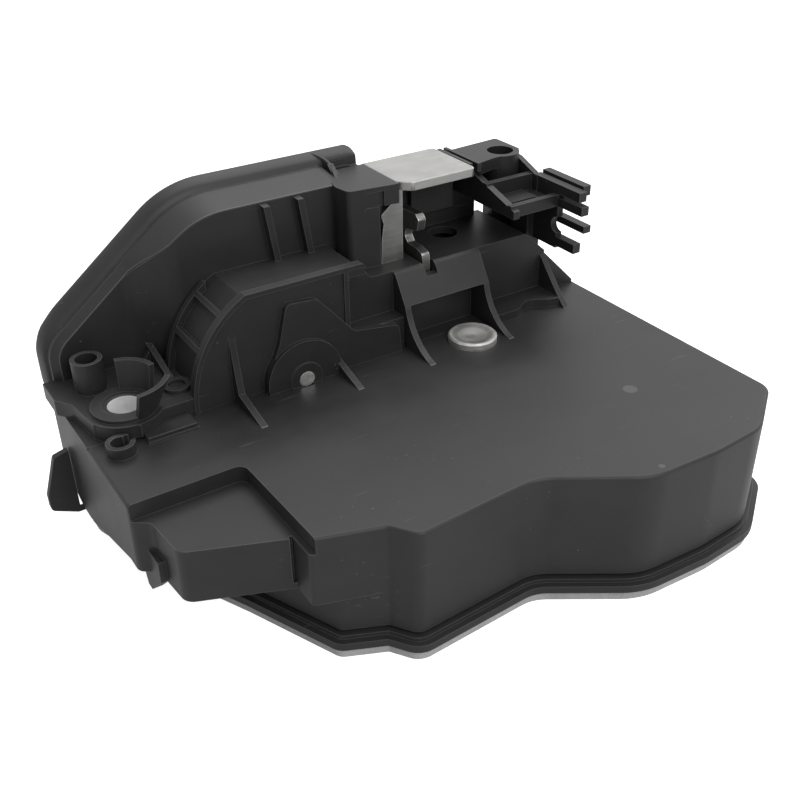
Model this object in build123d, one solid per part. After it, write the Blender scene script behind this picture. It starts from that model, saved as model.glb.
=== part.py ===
from build123d import *
import os
from math import atan2, cos, pi, radians, sin, sqrt

# Door latch actuator, in millimetres. X runs along the latch wall, +Y goes to the back and
# +Z goes up from the foot of the foam seal. The origin is under the middle of the whole.

# Overall sizes, each from the middle
left_end = 96.65            # to the fin's tip
right_end = 96.65           # to the right-hand rim
front_end = 70.55           # to the front rim
back_end = 70.55            # to the foam's back face
box_top = 41.0              # flat top of the box
arch_rise = 49.4            # box top to the flat top of the arch wall
wall = 2.4                  # moulded walls
top_wall = 2.5              # the box's top
fit_gap = 0.05              # a pin in its hole, also where the piece turns
part_gap = 0.3              # between pieces that pass each other
rib_t = 2.0                 # gussets and stiffening ribs

# Base, rim and foam: one bent sheet, flat at the foot and upright at the back
gasket_t = 3.2
gasket_w = 6.0
gasket_inset = 1.0
rim_t = 2.4                 # thickness of the rim, seen from the side
rim_w = 2.8                 # how far the rim stands out past the wall
bead_t = 1.2                # low bead on the rim
bead_w = 1.0
groove_t = 1.2              # shadow groove between bead and housings
plate_t = 2.0               # base sheet inside the rim
tongue_t = 2.0              # upright tongue inside the housing walls
tongue_rise = 5.0           # tongue past the groove
bend_r = 20.0               # outer bend between foot and back

seam = rim_t + bead_t + groove_t              # base's outer face to the housings' edge
left_x = 13.1 - left_end                      # foot wall beside the bend
right_x = right_end - rim_w
front_y = rim_w - front_end
back_y = back_end - gasket_t                  # outer face of the upright sheet
bend_y = back_y - bend_r
floor_z = gasket_t + plate_t                  # inner face of the base sheet
foot_z = gasket_t + seam                      # lower edge of the housings

# Where the two housings meet
seam_y = back_y - 37.6      # front face of the rear housing's footprint
right_seam_x = right_x - 42.5
right_seam_y = seam_y + 13.8                  # the seam lies further back past right_seam_x
foot_right_x = right_x - 15.1
top_left_x = left_x - 4.2   # box top stands out past the foot here
shoulder_z = box_top - 21.5                   # underside of the overhang at the front left
pocket_depth = 5.0          # lowered corner of the box top

# Fan-shaped gear housing
gear_x, gear_z = left_x + 62.9, box_top + 2.0
pin_r = 2.5
pin_reach = 4.1             # pin tip in front of the flange
barrel_r = 33.0
flange_lip = 2.0            # flange past the barrel
fan_top = gear_z + barrel_r - 4.0
flange_end_x = gear_x + 17.5
low_top = box_top + 10.5    # top of the low body right of the flange
gear_wall_y = back_y - 15.6                   # face of the wall behind the gear
bowl_y = back_y - 7.1       # face of the deeper wall at the left

# Gears
module = 1.25
gear_teeth = 44
pinion_teeth = 10
backlash = 0.36
gear_width = 9.0
pinion_angle = -50.0        # from the gear pin to the pinion, seen from the front
mesh_r = module * (gear_teeth + pinion_teeth) / 2 + 0.1
pinion_x = gear_x + mesh_r * cos(radians(pinion_angle))
pinion_z = gear_z + mesh_r * sin(radians(pinion_angle))
shaft_r = 1.2
motor_r = 11.0
motor_len = 30.0

# Platform with the key hub and the hollow post
platform_z = box_top + 5.0
hub_x, hub_y = left_x + 10.1, seam_y + 7.0
hub_r = 6.3
hub_wall = 1.5
cup_depth = 8.0
collar_r = 9.6
post_x, post_y = hub_x - 4.6, hub_y + 15.2
post_r = 3.3
post_rise = 10.0
guide_rise = 10.0

# Mouth
mouth_floor = box_top + 24.0
mouth_y = back_y - 31.6     # front edge of the mouth's floor
mouth_back = bowl_y
block_left, block_right = right_x - 90.1, right_x - 71.1
block_y = mouth_y + 5.1
floor_end_x = right_x - 24.1
deflector_left, deflector_right = block_right - 6.0, block_right + 26.8
steel_t = 2.4
plate_x1 = block_right + 28.0
plate_y0, plate_y1 = mouth_y + 3.5, mouth_y + 27.5
ledge_top = box_top + arch_rise
plate_top = ledge_top + 0.6
latch_plate_t = 2.8
plate_seat = plate_top - latch_plate_t

# Fork, pawl and their frame
catch_x = block_right + 5.6                   # left face of the fork
catch_t = 2.8
catch_y, catch_z = mouth_y + 11.5, mouth_floor - 10.0
catch_pin_r = 3.0
catch_rim_r = 8.5
pawl_y, pawl_z = catch_y + 8.0, catch_z - 14.0
pawl_pin_r = 2.0
frame_y0, frame_y1 = mouth_y + 6.5, mouth_y + 23.5
frame_z = pawl_z - 8.5
frame_left = block_right - 0.4
frame_right = frame_left + 15.0

# Levers on the rivet
rivet_x, rivet_y = right_x - 56.1, seam_y - 8.5
rivet_r = 3.5
rivet_head_r = 8.0
rivet_head_t = 2.5
lever_t = 2.5
lever_top = box_top - 9.4

lock_x, lock_y = left_x + 44.9, seam_y - 21.5
lock_z = lever_top - 10.3   # underside of the lock lever

# Screw block with its cable clips
clip_w = 22.0
clip_x1 = foot_right_x
clip_x0 = clip_x1 - clip_w
clip_y1 = back_y - 3.1
clip_top = plate_top - 2.0
screw_len = 13.0            # wall of the screw hole
tray_z = clip_top - screw_len                 # underside of the clip block's tray
screw_x, screw_y = clip_x1 - 7.5, clip_y1 - 11.1
screw_r = 4.5
finger_w = 3.0

# Screws through the base
boss_r = 3.6
screw_core_r = 1.3
screw_head_r = 3.2
front_bosses = [
    (left_x + 55.9, front_y + 26), (right_x - 62.5, front_y + 16), (right_x - 11.5, front_y + 17),
    (right_x - 8.5, right_seam_y - 10.3), (left_x + 22.9, seam_y - 14.5)]
rear_bosses = [                               # the third value is the boss's top
    (left_x + 27.9, back_y - 22.1, platform_z - 1), (right_x - 26.5, back_y - 19.1, mouth_floor - 1.5)]

# Connector socket in the base
socket_x, socket_y = right_x - 42.5, front_y + 32.0
socket_w, socket_d = 26.0, 12.0
socket_wall = 2.0
socket_top = 17.0

far = 130.0                 # past every piece

front_corners = [
    (left_x + 46.7, front_y + 22.8, 2), (left_x + 51.6, front_y + 15.6, 4),
    (right_x - 87, front_y + 17.7, 14), (right_x - 61.5, front_y + 1, 20), (right_x - 38.5, front_y, 30),
    (right_x - 19.5, front_y + 1.4, 16), (right_x, front_y + 15.2, 6), (right_x, right_seam_y, 3),
    (foot_right_x, right_seam_y, 2), (foot_right_x, far)]
foot_outline = [
    (left_x, far), (left_x, back_y - 21.1, 8), (left_x + 3.9, back_y - 33.1, 12),
    (left_x + 10.4, seam_y - 15.5, 16), (left_x + 22.9, front_y + 56, 10),
    (left_x + 35.1, front_y + 28, 2)] + front_corners
top_outline = [
    (top_left_x, far), (top_left_x, front_y + 66, 3), (left_x + 0.2, front_y + 63, 3),
    (left_x + 1.5, front_y + 47.8, 4), (left_x + 27.9, front_y + 37),
    (left_x + 27.9, front_y + 28.9, 1.5)] + front_corners
arch_outline = [
    (left_x, -20), (left_x, box_top + 14.8, 8), (left_x + 43.5, ledge_top, 27),
    (block_right - 3.7, ledge_top, 2), (block_right - 3.7, mouth_floor - 10, 3),
    (right_x - 32.5, mouth_floor - 15, 8), (foot_right_x, box_top - 3, 8), (foot_right_x, -20)]


def upward(face):
    """The same face with its normal along the drawing plane's own."""
    return face if face.normal_at().Z > 0 else -face


def outline(corners):
    """A face from its corners; a third value rounds that corner."""
    face = upward(make_face(Polyline(*[c[:2] for c in corners], close=True)).face())
    for corner in corners:
        if len(corner) == 3:
            nearest = face.vertices().sort_by_distance((corner[0], corner[1], 0))[0]
            face = face.fillet_2d(corner[2], [nearest])
    return face


def as_face(shape):
    return outline(shape) if isinstance(shape, list) else shape


def prism(shape, z0, z1):
    """Plan shape, standing from z0 to z1."""
    return extrude(Plane.XY.offset(z0) * as_face(shape), z1 - z0)


def front_prism(shape, y0, y1):
    """Shape in X and Z, running back from y0 to y1."""
    return extrude(Plane.XZ.offset(-y0) * as_face(shape), y0 - y1)


def side_prism(shape, x0, x1):
    """Shape in Y and Z, running right from x0 to x1."""
    return extrude(Plane.YZ.offset(x0) * as_face(shape), x1 - x0)


def block(x0, x1, y0, y1, z0, z1):
    return Pos((x0 + x1) / 2, (y0 + y1) / 2, (z0 + z1) / 2) * Box(x1 - x0, y1 - y0, z1 - z0)


def post(x, y, r, z0, z1):
    return Pos(x, y, (z0 + z1) / 2) * Cylinder(r, z1 - z0)


def rod_y(x, z, r, y0, y1):
    return Pos(x, (y0 + y1) / 2, z) * Rot(90, 0, 0) * Cylinder(r, y1 - y0)


def rod_x(y, z, r, x0, x1):
    return Pos((x0 + x1) / 2, y, z) * Rot(0, 90, 0) * Cylinder(r, x1 - x0)


def grown(face, by):
    return offset(face, by).face() if by else face


def boss_places():
    return front_bosses + [boss[:2] for boss in rear_bosses]


def inside_bend(depth):
    """Everything in front of and above the base's outer face, less a depth."""
    corner = (back_y - depth, gasket_t + depth, bend_r - depth)
    return side_prism([(-far, gasket_t + depth), corner, (back_y - depth, far), (-far, far)],
                      -far, far)


def within(grow):
    """Everything inside the base's outline, grown outward."""
    foot = prism(grown(outline(foot_outline), grow), -10, far) & block(-far, far, -far, bend_y, -10, far)
    upright = front_prism(grown(outline(arch_outline), grow), bend_y, far)
    return foot + upright


def band(depth0, depth1):
    return inside_bend(depth0) - inside_bend(depth1)


def front_zone():
    return prism([(-far, -far), (far, -far), (far, right_seam_y), (right_seam_x, right_seam_y),
                  (right_seam_x, seam_y), (-far, seam_y)], -10, box_top)


def case_form(t, top):
    """Box and lower rear body as one form, shrunk by t."""
    top_face = grown(outline(top_outline), -t)
    hang_y = front_y + 65.5 + t
    skirt = side_prism([(hang_y, shoulder_z + 2 + t), (back_y - 21.1, foot_z - 1 + t),
                        (far, foot_z - 1 + t), (far, top), (hang_y, top)], -far, 0)
    form = prism(grown(outline(foot_outline), -t), -10, top)
    form += prism(top_face, shoulder_z + t, top)
    return form + (prism(top_face, 0, top) & skirt)


def front_cover():
    case = case_form(0, box_top) & front_zone() & inside_bend(seam)
    edges = [e for e in case.edges().group_by(Axis.Z)[-1]
             if abs(e.center().Y - seam_y) > 0.1 and abs(e.center().Y - right_seam_y) > 0.1]
    case = fillet(edges, 1.0)
    point_x = left_x + 29.5
    lowered = [(-far, front_y + 66.1), (left_x + 28.6, front_y + 66.6, 3), (point_x, front_y + 28.9, 1),
               (point_x, -far), (-far, -far)]
    pocket_z = box_top - pocket_depth
    case -= prism(lowered, pocket_z, box_top + 1)
    hollow = case_form(wall, box_top - top_wall)
    hollow -= prism(grown(outline(lowered), wall), pocket_z - wall, box_top)
    case -= hollow
    slit_x = left_x + 27.9
    case -= block(slit_x - 1, slit_x, front_y + 35, front_y + 38.3, shoulder_z + 2, box_top)
    tab = [(front_y + 72, shoulder_z), (front_y + 69.3, shoulder_z - 8), (front_y + 66.5, shoulder_z - 8),
           (front_y + 57.3, shoulder_z + 1), (front_y + 57.3, box_top - 14), (front_y + 72, box_top - 14)]
    case += side_prism(tab, left_x - 1.4, left_x + 1.5)
    for x, y in front_bosses:
        case += post(x, y, boss_r, floor_z, box_top - 1)
        case -= post(x, y, screw_core_r + fit_gap, floor_z - 1, floor_z + 16)
    case += post(rivet_x, rivet_y, 6, lever_top + part_gap, box_top - 1)
    case -= post(rivet_x, rivet_y, rivet_r + fit_gap, lever_top - 1, box_top + 1)
    for x in (left_x + 64.9, left_x + 92.9, right_x - 32.5, right_x - 16.5):
        case += block(x, x + 1.6, front_y + 22, seam_y - 15.5, box_top - top_wall - 3, box_top - 1)
    case -= rod_y(gear_x, gear_z, pin_r + part_gap, seam_y - pin_reach - 1, seam_y + 1)
    case -= post(rivet_x, rivet_y, rivet_head_r + 0.6, box_top - 0.4, box_top + 1)
    case += block(hub_x + 0.8, hub_x + 15.8, seam_y - 8.1, seam_y - 4.5, box_top - 0.5, box_top + 0.6)
    split_ring = post(0, 0, 4.1, box_top - 1, box_top + 3.4) - post(0, 0, 2.7, box_top, far)
    split_ring -= block(1.6, 6, -0.4, 2.6, box_top, far)
    return case + Pos(hub_x - 6.8, seam_y - 7.3, 0) * split_ring


def fan_profile(r, top, foot, floor=mouth_floor):
    """Fan housing seen from the front: a quarter round that runs into the mouth's body."""
    side = gear_x - r
    rise = top - gear_z
    start = gear_x - sqrt(r * r - rise * rise)
    middle = radians(160)
    over = ThreePointArc((side, gear_z), (gear_x + r * cos(middle), gear_z + r * sin(middle)),
                         (start, top))
    rest = Polyline((start, top), (block_left - 1.9, top), (block_left + 5.1, floor),
                    (deflector_left + 0.5, floor), (deflector_left + 0.5, foot), (side, foot),
                    (side, gear_z))
    return upward(make_face([over, rest]).face())


def block_plan(t):
    """The block left of the mouth in plan, with its curved left side."""
    corners = [(block_left + 5.9, far), (block_left + 5.9, back_y - 3.1, 8),
               (block_left + 1, mouth_y + 13.5, 6), (block_left + 2.2, block_y + 2.3, 2),
               (block_right, block_y), (block_right, far)]
    return grown(outline(corners), -t)


def rear_forms(t):
    """The raised forms of the rear housing, shrunk by t; t above zero gives their hollows."""
    foot = box_top if t == 0 else foot_z
    platform = [(left_x - 5.8, far), (left_x - 5.8, seam_y + 21.5), (left_x - 2.2, seam_y + 16.2),
                (left_x - 0.7, seam_y + 2.7), (left_x + 10.4, seam_y - 4.8), (left_x + 13.2, seam_y - 0.3),
                (left_x + 34.9, seam_y), (left_x + 34.9, far)]
    form = prism(grown(outline(platform), -t), foot, platform_z - t)
    form += post(hub_x, hub_y, collar_r + 1.6 - t, foot, platform_z - t)
    fan = fan_profile(barrel_r - t, fan_top - t, foot, mouth_floor - t)
    barrel = front_prism(fan, seam_y + t, gear_wall_y + 10)
    form += barrel - block(flange_end_x - t, far, -far, mouth_y + t, low_top - t, fan_top - 2 + t)
    bowl = [(-far, bowl_y + t), (left_x + 23.9, bowl_y + t, 8), (left_x + 34.9, gear_wall_y + t, 8),
            (block_right, gear_wall_y + t), (block_right, far), (-far, far)]
    arch = front_prism(grown(outline(arch_outline), -t), gear_wall_y, far)
    form += arch & prism(bowl, foot, far)
    mouth = [(block_left + 2.6, foot), (block_left + 2.6, mouth_floor - t),
             (floor_end_x, mouth_floor - t), (foot_right_x - t, mouth_floor - 8 - t),
             (foot_right_x - t, foot)]
    form += front_prism(mouth, mouth_y + t, far)
    if t == 0:
        return form + prism(block_plan(0), mouth_floor - 1, plate_top)
    hollow = prism(block_plan(t), mouth_floor - 5, plate_seat - t)
    return form + (hollow & block(-far, frame_left - t, frame_y0 + 2 + t, far, 0, far))


def rear_housing():
    outer = case_form(0, box_top) + rear_forms(0)
    outer -= front_zone()
    outer -= block(-far, right_seam_x, -far, seam_y, -10, box_top + 1)
    outer &= inside_bend(seam)
    case = outer - (case_form(wall, box_top - top_wall) & block(-far, far, seam_y - 1, far, -10, far))
    case -= rear_forms(wall)
    skin = outer & block(-far, far, back_y - seam - wall, back_y - seam, foot_z, far)
    case += skin - front_prism(grown(outline(arch_outline), -wall), 0, far)
    case += mouth_details() + fan_details() + platform_details()
    case -= rear_cuts()
    for x, y, top in rear_bosses:
        case += post(x, y, boss_r, floor_z, top)
        case -= post(x, y, screw_core_r + fit_gap, floor_z - 1, floor_z + 16)
    return case


def mouth_details():
    """Deflector under the mouth's front edge, the pad beside it, gussets, back panel and ribs."""
    low_y, low_z = mouth_y - 7, mouth_floor - 9.8
    rib_foot = seam_y - 15.5
    rib_face = upward(make_face([
        Polyline((low_y, low_z), (mouth_y, mouth_floor - 1), (mouth_y, box_top), (rib_foot, box_top)),
        ThreePointArc((low_y, low_z), (mouth_y - 11.3, box_top + 5.8), (rib_foot, box_top))]).face())
    form = side_prism(rib_face, deflector_left, deflector_left + rib_t)
    form += side_prism(rib_face, deflector_right - rib_t, deflector_right)
    panel = [(mouth_y + 2, mouth_floor), (mouth_y - 0.9, mouth_floor, 3), (low_y, low_z),
             (low_y + 1.8, low_z - 1.1), (mouth_y + 0.1, mouth_floor - wall),
             (mouth_y + 2, mouth_floor - wall)]
    form += side_prism(panel, deflector_left, deflector_right)
    pad = [(deflector_right - 1, right_seam_y), (deflector_right - 1, mouth_y - 10.6),
           (right_x - 34, mouth_y - 10.9, 5), (right_x - 27.7, mouth_y - 6.3, 5),
           (right_x - 21, mouth_y - 10.7, 4), (foot_right_x - 1, mouth_y - 11.7, 1),
           (foot_right_x - 1, right_seam_y)]
    form += prism(pad, box_top, box_top + 3)
    slope_x = right_x - 0.8
    slope = [(foot_right_x - 1.4, box_top), (foot_right_x - 1.4, mouth_floor - 7.4), (slope_x, box_top + 1),
             (slope_x, box_top)]
    form += front_prism(slope, mouth_y + 0.5, mouth_y + 0.5 + rib_t)
    gusset = [(mouth_y + 1, mouth_floor - 8), (mouth_y + 1, box_top), (mouth_y - 14.5, box_top),
              (mouth_y - 9.5, box_top + 4.5)]
    form += side_prism(gusset, foot_right_x - rib_t, foot_right_x)
    form += block(block_right - 1, clip_x0 - fit_gap, mouth_back, mouth_back + wall, mouth_floor - 1,
                  plate_seat)
    form += block(clip_x0 - 1, clip_x0 + 9.6, mouth_back, mouth_back + wall, mouth_floor - 1,
                  tray_z - fit_gap)
    for x, y in ((plate_x1 + 1.2, plate_y0 + 5), (plate_x1 + 3.8, plate_y0 + 4)):
        form += block(x, x + 1.2, y, mouth_back + wall, plate_seat - 0.6, ledge_top)
    lug = [(mouth_back - 4, ledge_top - 1), (mouth_back + 2, ledge_top - 1), (mouth_back + 2, plate_top + 2.5),
           (mouth_back, plate_top + 1)]
    return form + side_prism(lug, block_left + 5.9, block_left + 5.9 + rib_t)


def fan_details():
    """Front plate with its raised rim, cross ribs, the boss round the pin and the gussets."""
    plate_face = fan_profile(barrel_r + flange_lip, fan_top + flange_lip, box_top)
    bead_face = plate_face - fan_profile(barrel_r + 0.6, fan_top + 0.6, box_top - 1)
    ring_y = gear_wall_y - 3.5
    fan_side = block(-far, flange_end_x, -far, far, box_top, far)
    fan_side += block(-far, block_left - 0.6, -far, far, fan_top, far)
    form = (front_prism(plate_face, seam_y, seam_y + rib_t)
            + front_prism(bead_face, seam_y - 0.8, seam_y)) & fan_side
    form += front_prism(plate_face, ring_y, ring_y + rib_t) & block(-far, gear_x - 20, -far, far, 0, far)
    for angle in (152, 132):
        x, z = gear_x + barrel_r * cos(radians(angle)), gear_z + barrel_r * sin(radians(angle))
        form += Pos(x, (seam_y + ring_y) / 2 + 1, z) * Rot(0, -angle, 0) * Box(4, ring_y - seam_y, 1.6)
    hump = [(gear_x - 12.6, box_top), (gear_x - 12, box_top + 4), (gear_x - 7.2, box_top + 15),
            (gear_x - 4.2, box_top + 27.2, 2), (gear_x + 5.9, box_top + 26.3, 3),
            (gear_x + 18.3, box_top + 12, 1), (block_left + 10, low_top - 1, 2), (block_left + 11, box_top)]
    form += front_prism(hump, seam_y - 2, seam_y)
    upper = block(-far, far, -far, far, box_top, far)
    for r, y in ((12.5, seam_y - 3.4), (5.4, seam_y - 4)):
        form += rod_y(gear_x, gear_z, r, y, seam_y) & upper
    tall = [(seam_y, box_top + 21.6), (seam_y - 3.5, box_top + 3.5), (seam_y - 18, box_top),
            (seam_y, box_top)]
    low = [(seam_y, box_top + 4.5), (seam_y - 15.5, box_top), (seam_y, box_top)]
    form += side_prism(tall, gear_x - 22.3, gear_x - 22.3 + rib_t)
    form += side_prism(low, gear_x + 11.2, gear_x + 11.2 + rib_t)
    form += block(flange_end_x - 1.6, flange_end_x, seam_y - 0.8, seam_y + rib_t, box_top, fan_top + 1)
    for x in (gear_x + 1, gear_x + 12.4):
        form += front_prism([(x, ledge_top - 0.5), (x + 2, ledge_top - 0.5), (x + 4.8, fan_top - 2),
                             (x + 2.8, fan_top - 2)], gear_wall_y - 3, gear_wall_y + 0.5)
    return form


def platform_details():
    """Hollow post, low ring with its gusset, and the key hub's collar with two flared guides."""
    sink = platform_z - 1
    tube = post(post_x, post_y, post_r + 1.3, sink, platform_z + post_rise)
    tube -= post(post_x, post_y, post_r, platform_z, far)
    ring_x, ring_y = hub_x + 16.4, hub_y + 1.2
    ring = post(ring_x, ring_y, 4.1, sink, platform_z + 1.5) - post(ring_x, ring_y, 2.7, platform_z, far)
    form = tube + ring + post(hub_x, hub_y, collar_r, sink, platform_z + 1.2)
    gusset = [(bowl_y + 0.5, sink), (bowl_y + 0.5, platform_z + 6.5), (ring_y + 3.6, platform_z + 0.8),
              (ring_y + 3.6, sink)]
    form += side_prism(gusset, ring_x - 0.9, ring_x + 0.9)
    form += front_prism([(ring_x - 5, sink), (ring_x + 0.5, sink), (ring_x + 0.5, platform_z + 6)],
                        bowl_y - 4, bowl_y - 2.4)
    for start, end, lean in ((8, 79, 0.4), (-88, -30, 3.6)):
        middle = Pos(hub_x, hub_y, platform_z + guide_rise / 2)
        shell = middle * Cone(collar_r, collar_r + lean + 0.8, guide_rise)
        shell -= middle * Cone(collar_r - 1.6, collar_r + lean - 0.8, guide_rise)
        wedge = [(hub_x, hub_y)]
        for angle in (start, (start + end) / 2, end):
            wedge.append((hub_x + 30 * cos(radians(angle)), hub_y + 30 * sin(radians(angle))))
        form += shell & prism(wedge, platform_z - 1, platform_z + guide_rise)
    return form


def rear_cuts():
    """Holes and slots for the hub, the pins, the fork and the bracket."""
    cuts = post(hub_x, hub_y, hub_r + fit_gap, platform_z - 6, far)
    cuts += rod_y(gear_x, gear_z, pin_r + fit_gap, seam_y - pin_reach - 5, gear_wall_y + wall + 1)
    slot_left, slot_right = catch_x - 0.8, catch_x + catch_t + 0.8
    slot_end = mouth_back + wall + 1
    cuts += block(slot_left, slot_right, mouth_y - 3.5, slot_end, mouth_floor - wall - 1, mouth_floor + 1)
    cuts += block(slot_left, slot_right, mouth_y - 0.5, mouth_y + wall + 1, catch_z + 2, mouth_floor)
    cuts += block(slot_left, slot_right, mouth_back - 1, slot_end, catch_z, mouth_floor + 18)
    cuts += post(plate_x1 - 2.9, mouth_y + 17, 5, mouth_floor - wall - 1, mouth_floor + 1)
    cuts += block(block_right - 6.6, block_right + 1, block_y - 2, frame_y0 + 2 + part_gap, mouth_floor,
                  plate_top - 6.4)
    cuts += block(frame_left - fit_gap, frame_left + steel_t + fit_gap, frame_y0 - fit_gap,
                  frame_y1 + fit_gap, mouth_floor - wall - 1, plate_seat)
    cuts += block(block_right, plate_x1, plate_y0 - 1, plate_y1 + 2, plate_seat, far)
    cuts += block(block_left + 6.2, block_left + 14, block_y - 1, block_y + 1.6, plate_top - 6.4,
                  plate_top - 1.6)
    return cuts


def base_tray():
    """Bent base sheet with its rim, bead, tongue, motor cradle and connector socket."""
    sheet = within(0) & band(0, plate_t)
    rim = (within(rim_w) - within(-1)) & band(0, rim_t)
    bead = (within(bead_w) - within(-wall - 1)) & band(rim_t - 0.5, rim_t + bead_t)
    gap = wall + 0.15
    tongue = (within(-gap) - within(-gap - tongue_t)) & band(plate_t - 0.5, seam + tongue_rise)
    tongue &= block(-far, far, -far, far, 0, box_top - 8)
    tray = sheet + rim + bead + tongue
    for x, y in boss_places():
        tray -= post(x, y, boss_r + 0.6, floor_z, far)
        tray -= post(x, y, screw_core_r + fit_gap, 0, far)
    tray += post(rivet_x, rivet_y, 6, gasket_t + 0.5, lever_top - 2 * lever_t - 2 * part_gap)
    tray -= post(rivet_x, rivet_y, rivet_r + fit_gap, floor_z + 8, far)
    for y in (seam_y - 27.5, seam_y - 7.5):
        cradle = block(pinion_x - 9, pinion_x + 9, y, y + 3, gasket_t + 0.5, pinion_z - 6)
        tray += cradle - rod_y(pinion_x, pinion_z, motor_r + fit_gap, y - 1, y + 4)
    half_w, half_d = socket_w / 2, socket_d / 2
    tray += block(socket_x - half_w - socket_wall, socket_x + half_w + socket_wall,
                  socket_y - half_d - socket_wall, socket_y + half_d + socket_wall,
                  gasket_t, socket_top + socket_wall)
    tray -= block(socket_x - half_w, socket_x + half_w, socket_y - half_d, socket_y + half_d, 0, socket_top)
    for x, y in pin_places():
        tray -= block(x - 0.45, x + 0.45, y - 0.45, y + 0.45, socket_top - 1, socket_top + socket_wall + 1)
    fin_x = top_left_x - part_gap
    fin_z = gasket_t + 0.5
    fin = [(left_x, fin_z), (left_x, fin_z + rim_t - 1), (fin_x, fin_z + rim_t - 1), (fin_x, box_top - 14),
           (4 - left_end, box_top - 15.2, 1), (-left_end, box_top - 28, 1), (-left_end, fin_z + 4, 2),
           (fin_x, fin_z)]
    tray += front_prism(fin, back_y - 14.1, back_y - 14.1 + rib_t) & inside_bend(0)
    return tray


def foam_gasket():
    outer = within(rim_w - gasket_inset) & (inside_bend(-gasket_t) - inside_bend(0))
    return outer - within(rim_w - gasket_inset - gasket_w)


def latch_plate():
    face = outline([(block_right, plate_y0 + 4), (block_right + 4, plate_y0, 2), (plate_x1, plate_y0, 1.5),
                    (plate_x1, plate_y1, 1.5), (block_right, plate_y1)])
    plate = prism(face, plate_seat, plate_top)
    return chamfer(plate.faces().sort_by(Axis.Z)[-1].edges(), 0.3)


def mouth_bracket():
    """Steel frame: two cheeks under the floor, the left one runs up through it and is bent forward."""
    left = block(frame_left, frame_left + steel_t, frame_y0, frame_y1, frame_z, plate_seat)
    right = block(frame_right - steel_t, frame_right, frame_y0, frame_y1, frame_z, mouth_floor - wall)
    sole = block(frame_left, frame_right, frame_y0, frame_y1, frame_z, frame_z + steel_t)
    flange = [(frame_left - 5.7, mouth_floor), (frame_left - 5.4, mouth_floor + 8.2, 1),
              (frame_left - 4.5, mouth_floor + 13.4, 1), (frame_left - 5.6, mouth_floor + 16.2, 1),
              (frame_left - 1.8, plate_top - 6.8, 1), (frame_left + steel_t, plate_top - 6.8),
              (frame_left + steel_t, mouth_floor)]
    form = left + right + sole + front_prism(flange, frame_y0, frame_y0 + 2)
    form -= rod_x(catch_y, catch_z, catch_pin_r + fit_gap, frame_left - 1, frame_right + 1)
    form -= rod_x(pawl_y, pawl_z, pawl_pin_r + fit_gap, frame_left - 1, frame_right + 1)
    return form


def rotary_catch():
    """Steel fork with an open throat, and its plastic hub between the cheeks."""
    fork = [(-10.8, 5), (-11, 9.6), (-10.6, 12.5, 1), (-6.5, 13.5, 2), (-2.4, 13.5, 1), (-0.7, 15.4, 1.2),
            (-1.2, 18.2, 1), (-7.8, 19.3, 1), (-8.6, 23.3, 1), (-6.7, 24.9, 1), (4, 24.2, 3), (8, 21, 3),
            (catch_rim_r, 0), (-6, 0)]
    fork = [(catch_y + corner[0], catch_z + corner[1], *corner[2:]) for corner in fork]
    form = side_prism(fork, catch_x, catch_x + catch_t)
    form += rod_x(catch_y, catch_z, catch_rim_r, catch_x, catch_x + catch_t)
    hub_start = frame_left + steel_t + part_gap
    hub_end = frame_right - steel_t - part_gap
    form += rod_x(catch_y, catch_z, 5.2, hub_start, hub_end)
    return form - rod_x(catch_y, catch_z, catch_pin_r + fit_gap, hub_start - 1, hub_end + 1)


def pawl():
    tip_y, tip_z = catch_y, catch_z - catch_rim_r - 0.6
    arm = [(pawl_y, pawl_z + 4), (tip_y + 1.5, tip_z), (tip_y - 1.5, tip_z, 0.5), (tip_y - 2, tip_z - 3.4, 1),
           (tip_y + 1, tip_z - 4.4, 1), (pawl_y - 3.5, pawl_z - 2.5)]
    form = side_prism(arm, catch_x, catch_x + catch_t)
    form += rod_x(pawl_y, pawl_z, 4.4, frame_left + steel_t + part_gap, frame_right - steel_t - part_gap)
    return form - rod_x(pawl_y, pawl_z, pawl_pin_r + fit_gap, frame_left - 1, frame_right + 1)


def headed_pin_x(y, z, r):
    """Pin along X, headed outside both cheeks."""
    form = rod_x(y, z, r, frame_left - 1.2, frame_right + 1.2)
    for x in (frame_left - 1.2, frame_right):
        form += rod_x(y, z, r + 1.4, x, x + 1.2)
    return form


def coil_x(y, z, radius, wire, x0, turns):
    """Torsion spring of square wire round a pin along X, twelve straight lengths to a turn."""
    pitch = wire + 0.25
    points = []
    for step in range(int(12 * turns) + 1):
        angle = radians(30 * step)
        points.append((x0 + pitch * step / 12, y + radius * cos(angle), z + radius * sin(angle)))
    path = Polyline(*points)
    start = Plane(origin=path @ 0, z_dir=path % 0)
    return sweep(start * Rectangle(wire, wire), path=path, transition=Transition.RIGHT)


def lever_rivet():
    """Dished head on the box top, shank through both levers into the base's post."""
    head_z = box_top - 0.4
    shank = post(rivet_x, rivet_y, rivet_r, floor_z + 8, head_z)
    head = post(rivet_x, rivet_y, rivet_head_r, head_z, head_z + rivet_head_t)
    head = chamfer(head.edges().group_by(Axis.Z)[-1], 0.5)
    dish = Pos(rivet_x, rivet_y, head_z + rivet_head_t - 0.6) * Cone(1.2, rivet_head_r - 1, 1.2)
    return shank + (head - dish)


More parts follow.
